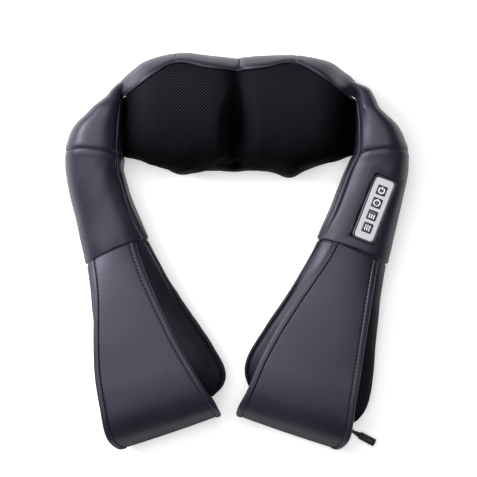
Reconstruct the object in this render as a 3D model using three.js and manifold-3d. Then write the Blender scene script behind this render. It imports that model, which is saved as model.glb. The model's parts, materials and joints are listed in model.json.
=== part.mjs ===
// Shiatsu neck massager, lying on its back: a padded leather collar whose neck body holds two kneading heads,
// driven by one motor, behind a mesh panel. Two stuffed arms, each with a leather hand loop, run forward from
// it, and the right arm carries the control panel and a short power lead.
// Millimetres, +Z up, +Y towards the neck body, origin under the middle of the object on its resting plane.
import * as THREE from "three";
import { mergeVertices } from "three/addons/utils/BufferGeometryUtils.js";
import Module from "manifold-3d";

const wasm = await Module();
wasm.setup();

// ---------------------------------------------------------------- driving dimensions

const gap = 0.3; // clearance between pieces that touch
const wall = 3; // leather or mesh with its lining and wadding

const neck = { halfWidth: 137.5, baseTop: 62, domeRise: 29, domeReach: 47, domeReachOut: 55, under: -3 };
const head = { x: 62, y: 158, carrierFoot: 54, carrierTop: 59 };
const node = { pitch: 25, radius: 19, centre: 66, foot: 60 }; // pitch is from the head's axis to a node's
const housing = { lobe: 51, skin: 2.5, foot: 14, split: 40, top: 50 };
const gear = { teeth: 30, pitchRadius: 24, addendum: 1.3, dedendum: 1.9, tooth: 1.9, low: 27, high: 37 };
const flank = Math.tan(Math.PI / 9); // slope of the gear's and the worm's flanks
const worm = { pitchRadius: 6.4, tip: 7.8, root: 4.8, turns: 3, thread: 1.9, length: 20 };
const motor = { radius: 14, halfLength: 16, skin: 1.6 };
const shaft = { drive: 1.8, output: 4, axle: 3 };
const hinge = { y: 118, z: 56, lift: 37, drop: 11.5 }; // lift and drop in degrees
const loop = { thickness: 2.4, lean: -8 };
const panel = { x: 157, y: 49, turn: -21, length: 77, width: 27, corner: 5, foot: 58, top: 67.8, lip: 2.3 };
const button = { side: 10.9, flange: 12.9, pitch: 15, top: 68.6, plate: 66.2 };
const lead = { radius: 2, socket: 4.6, socketBore: 2.8, socketLength: 25.5 };

const driveY = head.y - gear.pitchRadius - worm.pitchRadius; // the drive shaft's place
const driveZ = (gear.low + gear.high) / 2;
const toothPitch = (2 * Math.PI * gear.pitchRadius) / gear.teeth; // also the lead of the worm

// ---------------------------------------------------------------- materials

function finish(color, roughness, metalness = 0) {
  return new THREE.MeshStandardMaterial({ color, roughness, metalness });
}
const leather = finish(0x2b2b33, 0.45);
const meshFabric = finish(0x0b0b0e, 0.8);
const foam = finish(0x55565a, 0.95);
const blackPlastic = finish(0x18181b, 0.5);
const silverPlastic = finish(0xc9cbd2, 0.35, 0.2);
const nylon = finish(0xe6e2d6, 0.5);
const steel = finish(0xb4b6ba, 0.3, 1);
const brass = finish(0xb08d4a, 0.35, 1);
const circuitBoard = finish(0x1d5a36, 0.5);
const rubber = finish(0x101012, 0.7);

// ---------------------------------------------------------------- solids and booleans

// A three.js geometry as a solid that can be joined and cut.
function solid(geometry) {
  const bare = geometry.clone();
  bare.deleteAttribute("normal");
  bare.deleteAttribute("uv");
  const merged = mergeVertices(bare, 1e-4);
  return new wasm.Manifold(
    new wasm.Mesh({
      numProp: 3,
      vertProperties: new Float32Array(merged.attributes.position.array),
      triVerts: new Uint32Array(merged.index.array),
    }),
  );
}

function geometryOf(body) {
  const made = body.getMesh();
  const geometry = new THREE.BufferGeometry();
  geometry.setAttribute("position", new THREE.BufferAttribute(Float32Array.from(made.vertProperties), 3));
  geometry.setIndex(new THREE.BufferAttribute(Uint32Array.from(made.triVerts), 1));
  geometry.computeVertexNormals();
  return geometry;
}

const join = (...bodies) => bodies.reduce((all, one) => all.add(one));
const cut = (body, ...tools) => tools.reduce((left, tool) => left.subtract(tool), body);

// An upright cylinder, or with along "x" one lying along X, from low to high.
function rod(radius, low, high, x, y, segments = 14) {
  const made = new THREE.CylinderGeometry(radius, radius, high - low, segments).rotateX(Math.PI / 2);
  return solid(made.translate(x, y, (low + high) / 2));
}
function rodAlongX(radius, low, high, y, z, segments = 14) {
  const made = new THREE.CylinderGeometry(radius, radius, high - low, segments).rotateZ(Math.PI / 2);
  return solid(made.translate((low + high) / 2, y, z));
}
function block(x0, x1, y0, y1, z0, z1) {
  const made = new THREE.BoxGeometry(x1 - x0, y1 - y0, z1 - z0);
  return solid(made.translate((x0 + x1) / 2, (y0 + y1) / 2, (z0 + z1) / 2));
}
// A flat outline raised from low to high.
function slab(shape, low, high, curveSegments = 5) {
  const made = new THREE.ExtrudeGeometry(shape, { depth: high - low, bevelEnabled: false, curveSegments });
  return solid(made.translate(0, 0, low));
}
// A profile of [radius, height] points turned about the upright axis at x, y.
function turned(profile, x, y, segments = 14) {
  const points = profile.map(([radius, height]) => new THREE.Vector2(radius, height));
  return solid(new THREE.LatheGeometry(points, segments).rotateX(Math.PI / 2).translate(x, y, 0));
}
// A ring, as a closed profile.
function ring(inner, outer, low, high) {
  return [[inner, low], [outer, low], [outer, high], [inner, high], [inner, low]];
}

function roundedRectangle(length, width, corner) {
  const [a, b] = [length / 2, width / 2];
  const shape = new THREE.Shape();
  shape.moveTo(-a + corner, -b);
  shape.lineTo(a - corner, -b);
  shape.absarc(a - corner, -b + corner, corner, -Math.PI / 2, 0);
  shape.lineTo(a, b - corner);
  shape.absarc(a - corner, b - corner, corner, 0, Math.PI / 2);
  shape.lineTo(-a + corner, b);
  shape.absarc(-a + corner, b - corner, corner, Math.PI / 2, Math.PI);
  shape.lineTo(-a, -b + corner);
  shape.absarc(-a + corner, -b + corner, corner, Math.PI, 1.5 * Math.PI);
  return shape;
}

// A closed body through rings that hold the same number of points, with its two ends filled.
function loft(rings) {
  const count = rings[0].length;
  const points = rings.flat();
  const index = [];
  for (let i = 0; i < rings.length - 1; i++) {
    for (let j = 0; j < count; j++) {
      const [a, b] = [i * count + j, i * count + ((j + 1) % count)];
      index.push(a, b, b + count, a, b + count, a + count);
    }
  }
  for (const [first, flip] of [[0, true], [(rings.length - 1) * count, false]]) {
    const middle = points.length;
    const centre = new THREE.Vector3();
    for (let j = 0; j < count; j++) centre.addScaledVector(points[first + j], 1 / count);
    points.push(centre);
    for (let j = 0; j < count; j++) {
      const [a, b] = [first + j, first + ((j + 1) % count)];
      index.push(middle, flip ? b : a, flip ? a : b);
    }
  }
  const volume = (faces) => {
    let sum = 0;
    for (let i = 0; i < faces.length; i += 3) {
      const [a, b, c] = [points[faces[i]], points[faces[i + 1]], points[faces[i + 2]]];
      sum += a.dot(b.clone().cross(c));
    }
    return sum;
  };
  if (volume(index) < 0) index.reverse();
  const geometry = new THREE.BufferGeometry().setFromPoints(points);
  geometry.setIndex(index);
  return solid(geometry);
}

// A padded section from one edge point to the other, between two heights: a rounded, slightly square oval.
function padSection(edgeA, edgeB, low, high, sides, power = 2.6) {
  const points = [];
  for (let k = 0; k < sides; k++) {
    const angle = (2 * Math.PI * (k + 0.5)) / sides;
    const across = Math.sign(Math.cos(angle)) * Math.abs(Math.cos(angle)) ** (2 / power);
    const up = Math.sign(Math.sin(angle)) * Math.abs(Math.sin(angle)) ** (2 / power);
    points.push(
      new THREE.Vector3(
        (edgeA.x + edgeB.x) / 2 + (across * (edgeB.x - edgeA.x)) / 2,
        (edgeA.y + edgeB.y) / 2 + (across * (edgeB.y - edgeA.y)) / 2,
        (low + high) / 2 + (up * (high - low)) / 2,
      ),
    );
  }
  return points;
}

const mirrored = (body) => body.mirror([1, 0, 0]);
const belowFloor = block(-400, 400, -400, 400, -40, 0);

// The value at x of a smooth line through [x, value] points.
function smoothLine(points) {
  const curve = new THREE.SplineCurve(points.map(([x, y]) => new THREE.Vector2(x, y)));
  return (x) => {
    let [low, high] = [0, 1];
    for (let i = 0; i < 30; i++) {
      const middle = (low + high) / 2;
      if (curve.getPoint(middle).x < x) low = middle;
      else high = middle;
    }
    return curve.getPoint(low).y;
  };
}

// ---------------------------------------------------------------- assembly

const massager = new THREE.Group();

function add(name, body, material) {
  const mesh = new THREE.Mesh(geometryOf(body), material);
  mesh.name = name;
  massager.add(mesh);
  return mesh;
}

// ---------------------------------------------------------------- neck body: leather, mesh and foam

const neckTopEdge = smoothLine([
  [0, 223.5], [30, 226], [57, 229], [80, 226.5], [105, 219], [122, 208], [138, 196],
]);
const neckBottomEdge = smoothLine([
  [0, 93], [35, 92.5], [62, 88.5], [80, 94.5], [104, 101.5], [122, 107], [138, 112],
]);

// The neck body shrunk by inset all round, as sections across it from left to right.
function neckBody(inset, endInset = inset) {
  const rings = [];
  const steps = 20;
  for (let i = 0; i <= steps; i++) {
    const x = -neck.halfWidth + (2 * neck.halfWidth * i) / steps;
    const fromHead = Math.abs(x) - head.x;
    const reach = fromHead < 0 ? neck.domeReach : neck.domeReachOut;
    const dome = neck.domeRise * Math.exp(-((fromHead / reach) ** 6));
    const shoulder = -12 * THREE.MathUtils.smoothstep(Math.abs(x), 112, neck.halfWidth);
    const placed = (x * (neck.halfWidth - endInset)) / neck.halfWidth;
    rings.push(
      padSection(
        new THREE.Vector3(placed, neckBottomEdge(Math.abs(x)) + inset),
        new THREE.Vector3(placed, neckTopEdge(Math.abs(x)) - inset),
        neck.under + inset,
        neck.baseTop + dome + shoulder - inset,
        16,
      ),
    );
  }
  return cut(loft(rings), belowFloor.translate([0, 0, inset]));
}

// The mesh panel's outline: the seam under the leather rim, and past the body everywhere else.
function meshOutline(grow) {
  const seam = [[136, 176], [113, 186], [91, 201], [73, 213], [56, 214.5], [34, 209.5], [0, 206]];
  const points = [...seam, ...seam.slice(0, -1).reverse().map(([x, y]) => [-x, y])];
  const shape = new THREE.Shape();
  shape.moveTo(-136 - grow, 60);
  shape.lineTo(136 + grow, 60);
  points.forEach(([x, y]) => shape.lineTo(x + Math.sign(x) * grow, y + grow));
  return shape;
}

const neckSkin = cut(neckBody(0), neckBody(wall));
add("neck_cover_leather", cut(neckSkin, slab(meshOutline(gap), 30 - gap, 120)), leather);
add("neck_cover_mesh", neckSkin.intersect(slab(meshOutline(0), 30, 120)), meshFabric);

// The two-lobed outline that the housing, and the foam's pocket for it, share.
function lobedPlate(radius, low, high) {
  return join(
    rod(radius, low, high, -head.x, head.y, 26),
    rod(radius, low, high, head.x, head.y, 26),
    block(-head.x, head.x, head.y - radius + 2, head.y + radius - 8, low, high),
  );
}

const aboveFoam = block(-300, 300, -300, 300, 58, 200);
const foamPocket = lobedPlate(housing.lobe + 0.6, housing.foot - 0.5, 120);
add("neck_foam", cut(neckBody(wall + 0.5), foamPocket, aboveFoam), foam);

// ---------------------------------------------------------------- housing

const screwPlaces = [[-100, head.y], [-head.x, 196], [head.x, 196], [100, head.y]];
const sides = [["left", -1], ["right", 1]];

// Rear tray: floor and wall, shaft seats, screw bosses, motor saddles, bush posts and board posts.
let tray = cut(
  lobedPlate(housing.lobe, housing.foot, housing.split),
  lobedPlate(housing.lobe - housing.skin, housing.foot + housing.skin, 90),
);
const trayFloor = housing.foot + housing.skin - 0.5;
for (const [, side] of sides) tray = join(tray, rod(9, trayFloor, 25, side * head.x, head.y));
for (const [x, y] of screwPlaces) tray = join(tray, rod(4, trayFloor, 47, x, y, 10));
for (const x of [-12, 12]) tray = join(tray, block(x - 2, x + 2, driveY - 11, driveY + 11, trayFloor, 26));
for (const x of [-84, 84]) {
  tray = join(tray, block(x - 3, x + 3, driveY - 6, driveY + 6, trayFloor, driveZ));
}
for (const x of [-20, 20]) tray = join(tray, rod(2.5, trayFloor, 19.7, x, 178, 12));
for (const [, side] of sides) tray = cut(tray, rod(7 + gap, 17, 60, side * head.x, head.y));
for (const [x, y] of screwPlaces) tray = cut(tray, rod(1.6, 30, 60, x, y, 8));
tray = cut(
  tray,
  rodAlongX(motor.radius + gap, -30, 30, driveY, driveZ, 18),
  rodAlongX(4 + gap, -90, -78, driveY, driveZ, 8),
  rodAlongX(4 + gap, 78, 90, driveY, driveZ, 8),
);
add("housing_rear", tray, blackPlastic);

// Front lid: skirt and plate with the output bushes' bosses, drilled for the shafts and screws.
const skirtFoot = housing.split + 0.4;
let lid = cut(
  lobedPlate(housing.lobe, skirtFoot, housing.top),
  lobedPlate(housing.lobe - housing.skin, 0, housing.top - housing.skin),
);
for (const [, side] of sides) lid = join(lid, rod(10, 42, 49, side * head.x, head.y));
for (const [, side] of sides) lid = cut(lid, rod(7 + gap, 30, 60, side * head.x, head.y));
for (const [x, y] of screwPlaces) lid = cut(lid, rod(1.8, 30, 60, x, y, 8));
add("housing_front", lid, blackPlastic);

screwPlaces.forEach(([x, y], i) => {
  const profile = [[0, 33], [1.3, 33], [1.3, 50.3], [3.2, 50.3], [3.2, 52.2], [0, 52.2]];
  add(`housing_screw_${i + 1}`, turned(profile, x, y, 8), steel);
});

// ---------------------------------------------------------------- drive: motor, shaft and worms

const can = cut(
  rodAlongX(motor.radius, -motor.halfLength, motor.halfLength, driveY, driveZ, 18),
  rodAlongX(motor.radius - motor.skin, -motor.halfLength + 2, 30, driveY, driveZ, 18),
  rodAlongX(shaft.drive + gap, -30, 30, driveY, driveZ, 12),
);
add("motor_can", can, steel);
const cap = join(
  rodAlongX(motor.radius, motor.halfLength + gap, motor.halfLength + 2.5, driveY, driveZ, 18),
  rodAlongX(5, motor.halfLength + gap, motor.halfLength + 4.5, driveY, driveZ, 12),
);
add("motor_cap", cut(cap, rodAlongX(shaft.drive + gap, -30, 30, driveY, driveZ, 8)), nylon);
const armature = rodAlongX(10.5, -11, 12, driveY, driveZ, 18);
add("motor_armature", cut(armature, rodAlongX(shaft.drive + gap, -30, 30, driveY, driveZ, 8)), brass);
add("drive_shaft", rodAlongX(shaft.drive, -87, 87, driveY, driveZ, 8), steel);
for (const [side, sign] of sides) {
  const bush = rodAlongX(4, sign * 84 - 3, sign * 84 + 3, driveY, driveZ, 12);
  add(`drive_bush_${side}`, cut(bush, rodAlongX(shaft.drive + gap, -90, 90, driveY, driveZ, 8)), brass);
}

// A worm: a core with one thread swept along it. hand is 1 for a right-hand thread, -1 for a left-hand one.
function wormAt(x, hand) {
  const stepsPerTurn = 14;
  const rings = [];
  const halfRoot = worm.thread / 2 + (worm.pitchRadius - worm.root) * flank;
  const halfTip = worm.thread / 2 - (worm.tip - worm.pitchRadius) * flank;
  const foot = worm.root - 0.5; // the thread starts a little inside the core
  for (let i = 0; i <= worm.turns * stepsPerTurn; i++) {
    const turn = i / stepsPerTurn - worm.turns / 2;
    const angle = hand * 2 * Math.PI * turn;
    const at = x + turn * toothPitch;
    const corner = (radius, offset) =>
      new THREE.Vector3(at + offset, driveY + radius * Math.cos(angle), driveZ + radius * Math.sin(angle));
    rings.push([
      corner(foot, -halfRoot), corner(worm.tip, -halfTip), corner(worm.tip, halfTip), corner(foot, halfRoot),
    ]);
  }
  const core = rodAlongX(worm.root, x - worm.length / 2, x + worm.length / 2, driveY, driveZ, 12);
  return cut(join(core, loft(rings)), rodAlongX(shaft.drive + gap, -90, 90, driveY, driveZ, 8));
}
add("worm_left", wormAt(-head.x, -1), nylon);
add("worm_right", wormAt(head.x, 1), nylon);

// ---------------------------------------------------------------- kneading heads

// A wheel whose slanted teeth run in the worm's thread. The tooth space at its foot faces the worm.
function wormWheel(x, hand) {
  const { pitchRadius, addendum, dedendum, tooth, teeth } = gear;
  const twistPerMm = hand * (toothPitch / (2 * Math.PI * worm.pitchRadius) / pitchRadius);
  const outline = [
    [pitchRadius - dedendum, tooth / 2 + dedendum * flank, -1],
    [pitchRadius + addendum, tooth / 2 - addendum * flank, -1],
    [pitchRadius + addendum, tooth / 2 - addendum * flank, 1],
    [pitchRadius - dedendum, tooth / 2 + dedendum * flank, 1],
  ];
  const rings = [gear.low, gear.high].map((z) => {
    const points = [];
    for (let i = 0; i < teeth; i++) {
      const middle = -Math.PI / 2 + (2 * Math.PI * (i + 0.5)) / teeth + twistPerMm * (z - driveZ);
      for (const [radius, half, edge] of outline) {
        const angle = middle + (edge * half) / radius;
        points.push(new THREE.Vector3(x + radius * Math.cos(angle), head.y + radius * Math.sin(angle), z));
      }
    }
    return points;
  });
  return cut(loft(rings), rod(shaft.output + gap, 0, 90, x, head.y));
}

for (const [side, sign] of sides) {
  const x = sign * head.x;
  add(`rear_bush_${side}`, turned(ring(shaft.output + gap, 7, 17.3, 25), x, head.y), brass);
  add(`front_bush_${side}`, turned(ring(shaft.output + gap, 7, 42, 50), x, head.y), brass);
  add(`worm_wheel_${side}`, wormWheel(x, sign), nylon);
  add(`output_shaft_${side}`, rod(shaft.output, 17.4, 62.5, x, head.y), steel);

  // Heating board: a ring under the head, with a lamp at each quarter.
  let board = turned(ring(12, 22, housing.top + gap, housing.top + 1.9), x, head.y, 18);
  for (let i = 0; i < 4; i++) {
    const angle = (i * Math.PI) / 2;
    const [lampX, lampY] = [x + 17 * Math.cos(angle), head.y + 17 * Math.sin(angle)];
    board = join(board, rod(1.5, housing.top + 1, housing.top + 3, lampX, lampY, 6));
  }
  add(`heater_board_${side}`, board, circuitBoard);

  // Carrier: a hub and two pads in line, bored for the output shaft and for the two node axles.
  const { carrierFoot, carrierTop } = head;
  let carrier = join(
    rod(11, carrierFoot, carrierTop, x, head.y, 18),
    block(x - 8, x + 8, head.y - node.pitch, head.y + node.pitch, carrierFoot, carrierTop),
  );
  for (const y of [head.y - node.pitch, head.y + node.pitch]) {
    carrier = join(carrier, rod(12, carrierFoot, carrierTop, x, y, 18));
    carrier = cut(carrier, rod(shaft.axle + gap, 0, 90, x, y, 10));
  }
  carrier = cut(carrier, rod(shaft.output + gap, 0, 90, x, head.y));
  add(`head_carrier_${side}`, carrier, blackPlastic);

  // Kneading nodes: domes that turn freely on their axles, the lower one nearer the arms.
  for (const [place, way] of [["lower", -1], ["upper", 1]]) {
    const y = head.y + way * node.pitch;
    const axle = [[0, carrierFoot + 0.2], [shaft.axle, carrierFoot + 0.2], [shaft.axle, 73], [0, 73]];
    add(`node_axle_${side}_${place}`, turned(axle, x, y, 10), steel);
    const dome = [[shaft.axle + gap, node.foot], [17, node.foot]];
    for (let i = 0; i <= 5; i++) {
      const angle = THREE.MathUtils.lerp(-0.2, Math.PI / 2, i / 5);
      dome.push([node.radius * Math.cos(angle), node.centre + node.radius * Math.sin(angle)]);
    }
    dome[dome.length - 1][0] = 0;
    dome.push([0, 73.6], [shaft.axle + gap, 73.6], [shaft.axle + gap, node.foot]);
    add(`massage_node_${side}_${place}`, turned(dome, x, y, 16), nylon);
  }
}

// Main board on its posts, with a chip, two capacitors and the lead's connector.
const boardFoot = 20;
const mainBoard = join(
  block(-25, 25, 163, 193, boardFoot, boardFoot + 1.6),
  block(-8, 6, 172, 186, boardFoot + 1, boardFoot + 3.6),
  rod(4, boardFoot + 1, boardFoot + 11, -17, 170, 8),
  rod(4, boardFoot + 1, boardFoot + 11, -17, 181, 8),
  block(12, 22, 168, 182, boardFoot + 1, boardFoot + 8),
);
add("main_board", mainBoard, circuitBoard);

// ---------------------------------------------------------------- shoulders

// Rows of [y, inner x, outer x, top] from the arm's hinge up to the neck body's corner.
const shoulderRows = [
  [108, 138.2, 197.5, 76],
  [128, 138.2, 194, 78],
  [144, 138.4, 186.5, 78],
  [158, 138.6, 173, 77],
  [172, 139, 161, 73],
  [184, 139.5, 152, 66],
  [191, 140, 145, 57],
];
const shoulderSections = shoulderRows.map(([y, inner, outer, top]) =>
  padSection(new THREE.Vector3(inner, y), new THREE.Vector3(outer, y), neck.under, top, 14),
);
const shoulder = cut(
  loft(shoulderSections),
  block(100, 250, 0, hinge.y + 0.4, -50, 150),
  belowFloor,
);
add("shoulder_pad_left", mirrored(shoulder), leather);
add("shoulder_pad_right", shoulder, leather);

// ---------------------------------------------------------------- arms

// Rows of inner edge, outer edge, underside and top, from above the hinge to the end of the hand pad.
const armRows = [
  [[138.8, 138], [190, 138], -3, 78],
  [[139.8, 110], [197.5, 112], -3, 76],
  [[127, 90], [197, 88], -3, 72],
  [[112, 50], [190, 54], -3, 67],
  [[99, 18], [179, 6], -2, 61],
  [[85, -12], [171, -30], 1, 56],
  [[64, -48], [166, -72], 3.2, 50],
  [[38, -86], [162, -112], 3.2, 46],
  [[17, -120], [160, -144], 3.2, 43],
  [[11.5, -140], [157, -166], 4, 40],
  [[17, -157], [151, -184], 7, 35],
  [[34, -171], [138, -199], 13, 25],
];
function edgeLine(which) {
  return new THREE.CatmullRomCurve3(armRows.map((row) => new THREE.Vector3(...row[which], 0)));
}
const armLines = { inner: edgeLine(0), outer: edgeLine(1) };
const armHeights = new THREE.CatmullRomCurve3(armRows.map((row) => new THREE.Vector3(row[2], row[3], 0)));

// The right arm shrunk by inset all round. Its open end starts opening mm further up when it is a hollow.
function armBody(inset, opening = 0, steps = 15) {
  const rings = [];
  for (let i = 0; i <= steps; i++) {
    const t = i / steps;
    const [inner, outer] = [armLines.inner.getPoint(t), armLines.outer.getPoint(t)];
    const along = outer.clone().sub(inner).normalize();
    const heights = armHeights.getPoint(t);
    inner.addScaledVector(along, inset);
    outer.addScaledVector(along, -inset);
    const shift = i === 0 ? opening : i === steps ? inset : 0;
    inner.y += shift;
    outer.y += shift;
    rings.push(padSection(inner, outer, heights.x + inset, heights.y - inset, 14));
  }
  return cut(loft(rings), belowFloor.translate([0, 0, inset]));
}

// What has to stay clear at the hinge so that the arm can lift and drop, as a wedge across the arm.
function hingeClearance(extra) {
  const [low, high] = [-30, 100];
  const apex = hinge.y - 0.4 - extra;
  const outline = new THREE.Shape();
  outline.moveTo(apex, hinge.z);
  outline.lineTo(apex - (high - hinge.z) * Math.tan(THREE.MathUtils.degToRad(hinge.lift)), high);
  outline.lineTo(300, high);
  outline.lineTo(300, low);
  outline.lineTo(apex - (hinge.z - low) * Math.tan(THREE.MathUtils.degToRad(hinge.drop)), low);
  const wedge = new THREE.ExtrudeGeometry(outline, { depth: 200, bevelEnabled: false });
  return solid(wedge.rotateX(Math.PI / 2).rotateZ(Math.PI / 2).translate(60, 0, 0));
}

const armCover = cut(armBody(0), armBody(wall, 20), hingeClearance(0));
const armFoam = cut(armBody(wall + 0.5), hingeClearance(4));
add("arm_cover_left", mirrored(armCover), leather);
add("arm_foam_left", mirrored(armFoam), foam);

// ---------------------------------------------------------------- control panel on the right arm

// Turns and moves a body drawn round the panel's own centre, long side along X, onto the arm.
function onPanel(body) {
  return body.rotate([0, 0, 90 + panel.turn]).translate([panel.x, panel.y, 0]);
}
const pocketShape = roundedRectangle(panel.length + 2 * gap, panel.width + 2 * gap, panel.corner);
const panelPocket = onPanel(slab(pocketShape, panel.foot - gap, 120));

const buttonPlaces = [1.5, 0.5, -0.5, -1.5].map((n) => n * button.pitch);
const well = [panel.length - 2 * panel.lip, panel.width - 2 * panel.lip, panel.corner - 1.5];
const panelBlock = slab(roundedRectangle(panel.length, panel.width, panel.corner), panel.foot, panel.top);
const panelBase = cut(panelBlock, slab(roundedRectangle(...well), panel.foot + 1.5, 120));
add("panel_base", onPanel(panelBase), blackPlastic);

const plateShape = roundedRectangle(well[0] - 2 * gap, well[1] - 2 * gap, well[2] - gap);
let faceplate = slab(plateShape, button.plate, panel.top);
const window = button.side / 2 + gap;
for (const x of buttonPlaces) {
  faceplate = cut(faceplate, block(x - window, x + window, -window, window, 0, 120));
}
add("panel_faceplate", onPanel(faceplate), silverPlastic);

let switchBoard = slab(roundedRectangle(66, 18, 2), panel.foot + 1.8, panel.foot + 3.4);
for (const x of buttonPlaces) {
  const switchBody = block(x - 3, x + 3, -3, 3, panel.foot + 3, panel.foot + 5);
  switchBoard = join(switchBoard, switchBody, rod(1.6, panel.foot + 4, panel.foot + 5.7, x, 0, 8));
}
add("button_board", onPanel(switchBoard), circuitBoard);

["power", "direction", "speed", "heat"].forEach((name, i) => {
  const [x, half, lip] = [buttonPlaces[i], button.side / 2, button.flange / 2];
  const cap = block(x - half, x + half, -half, half, 65.2, button.top);
  add(`button_${name}`, onPanel(join(cap, block(x - lip, x + lip, -lip, lip, 64.9, 65.9))), rubber);
});

// ---------------------------------------------------------------- power lead out of the right arm's end

const leadPoints = [
  [68, -178.5, 17], [67.4, -184.5, 16.2], [68.5, -190, 13.8], [73, -194, 11], [80, -196.6, 9],
  [87.5, -198.2, 7.9], [95, -199.4, 7.2], [103, -200.5, 7], [110, -201.6, 7], [117, -202.8, 6.8],
  [124, -204.4, 6.4], [130, -206.6, 5.5], [135.2, -209.4, 5], [140.2, -212.2, 5],
].map((place) => new THREE.Vector3(...place));
const leadRoute = new THREE.CatmullRomCurve3(leadPoints);
const leadSection = new THREE.Shape().absarc(0, 0, lead.radius, 0, 2 * Math.PI);
const leadTube = new THREE.ExtrudeGeometry(leadSection, {
  steps: 22,
  curveSegments: 4,
  extrudePath: leadRoute,
  bevelEnabled: false,
});

// Lays a body drawn upright at the origin along the direction from one point on.
function alongFrom(geometry, start, direction) {
  const turn = new THREE.Quaternion();
  turn.setFromUnitVectors(new THREE.Vector3(0, 0, 1), direction.clone().normalize());
  return solid(geometry.applyQuaternion(turn).translate(start.x, start.y, start.z));
}
const lathed = (profile, segments) =>
  new THREE.LatheGeometry(profile.map(([r, h]) => new THREE.Vector2(r, h)), segments).rotateX(Math.PI / 2);

const leadStart = leadPoints[0];
const leadOut = leadPoints[1].clone().sub(leadPoints[0]);
const bore = lead.radius + gap;
const glandProfile = [[bore, -7], [6.5, -7], [6.5, -5.5], [4, -5.5], [3.6, 0.5], [bore, 0.5], [bore, -7]];
const glandRoom = [[0, -9.5], [7, -9.5], [7, -5], [4.4, -5], [4.4, 30], [0, 30], [0, -9.5]];
const glandHole = alongFrom(lathed(glandRoom, 12), leadStart, leadOut);
add("cord_gland", alongFrom(lathed(glandProfile, 12), leadStart, leadOut), rubber);
add("power_lead", solid(leadTube), rubber);

// Socket on the lead's end: a boot that narrows onto the lead, an open barrel, and the contact in it.
const leadEnd = leadPoints.at(-1);
const socketWay = new THREE.Vector3(0.884, -0.468, 0);
const { socket, socketBore, socketLength } = lead;
const socketProfile = [
  [0, 0.4], [2.6, 0.4], [3.2, 5.2], [socket, 6], [socket, socketLength],
  [socketBore, socketLength], [socketBore, 14], [0, 14],
];
const pinProfile = [[0, 14.3], [1.05, 14.3], [1.05, socketLength - 1], [0, socketLength - 1]];
add("power_socket", alongFrom(lathed(socketProfile, 16), leadEnd, socketWay), rubber);
add("socket_pin", alongFrom(lathed(pinProfile, 8), leadEnd, socketWay), steel);

add("arm_cover_right", cut(armCover, panelPocket, glandHole), leather);
add("arm_foam_right", cut(armFoam, panelPocket, glandHole), foam);

// ---------------------------------------------------------------- hand loops

// Rows of inner edge, outer edge and height along the right loop: over the pad, round the fold, back under.
const loopRows = [
  [[114, 14], [167, -11], 62.5],
  [[108, -6], [164, -30], 64],
  [[96, -33], [160.5, -60], 67],
  [[77, -68], [157.5, -98], 69],
  [[58, -102], [154, -136], 69],
  [[40, -133], [149.5, -166], 68.5],
  [[26, -158], [144, -195], 65],
  [[16, -174], [139, -212.5], 56.5],
  [[11.5, -183.5], [133, -222.6], 43],
  [[11, -187], [127, -226.9], 27],
  [[12.5, -184.5], [126, -224.4], 12],
  [[16, -177], [129, -216], 4],
  [[24, -164], [134, -201], 1.7],
  [[50, -120], [146, -150], 1.6],
  [[80, -66], [155, -90], 1.6],
];
const loopInner = new THREE.CatmullRomCurve3(loopRows.map(([inner, , z]) => new THREE.Vector3(...inner, z)));
const loopOuter = new THREE.CatmullRomCurve3(loopRows.map(([, outer, z]) => new THREE.Vector3(...outer, z)));

function handLoop(lean) {
  const steps = 30;
  const rings = [];
  for (let i = 0; i <= steps; i++) {
    const t = i / steps;
    const [inner, outer] = [loopInner.getPoint(t), loopOuter.getPoint(t)];
    const way = loopInner.getTangent(t).add(loopOuter.getTangent(t));
    const normal = outer.clone().sub(inner).cross(way).normalize().multiplyScalar(loop.thickness / 2);
    const leaning = lean * THREE.MathUtils.smoothstep(-inner.y, -14, 120);
    inner.x += leaning;
    outer.x += leaning;
    rings.push([
      inner.clone().sub(normal),
      outer.clone().sub(normal),
      outer.clone().add(normal),
      inner.clone().add(normal),
    ]);
  }
  return loft(rings);
}
add("hand_loop_left", mirrored(handLoop(-loop.lean)), leather);
add("hand_loop_right", handLoop(loop.lean), leather);

// ---------------------------------------------------------------- zip slider, mesh panel's right corner

// The point straight below x, y on the neck body, and the way its surface faces there.
function seatOnNeck(x, y) {
  const surface = new THREE.Mesh(geometryOf(neckBody(0)), leather);
  const down = new THREE.Raycaster(new THREE.Vector3(x, y, 200), new THREE.Vector3(0, 0, -1));
  const [hit] = down.intersectObject(surface);
  return { point: hit.point, normal: hit.face.normal };
}
const seat = seatOnNeck(131, 178);
const sliderShape = roundedRectangle(9, 6, 1.5);
sliderShape.holes.push(new THREE.Path().absarc(2.6, 0, 1, 0, 2 * Math.PI));
const sliderBody = new THREE.ExtrudeGeometry(sliderShape, {
  depth: 2,
  bevelEnabled: false,
  curveSegments: 3,
});
const sliderTurn = new THREE.Quaternion().setFromUnitVectors(new THREE.Vector3(0, 0, 1), seat.normal);
sliderBody.translate(0, 0, gap).rotateZ(-0.4).applyQuaternion(sliderTurn);
add("zip_slider", solid(sliderBody.translate(seat.point.x, seat.point.y, seat.point.z)), steel);

export default massager;
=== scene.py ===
# Shiatsu neck massager lying on its back: leather collar with a mesh-fronted neck body, two stuffed arms
# with hand loops, a control panel on the right arm and a short power lead.
# Lengths in the sections are millimetres.
import json
import math

import bpy
import numpy as np
from mathutils import Matrix, Vector, noise


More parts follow.
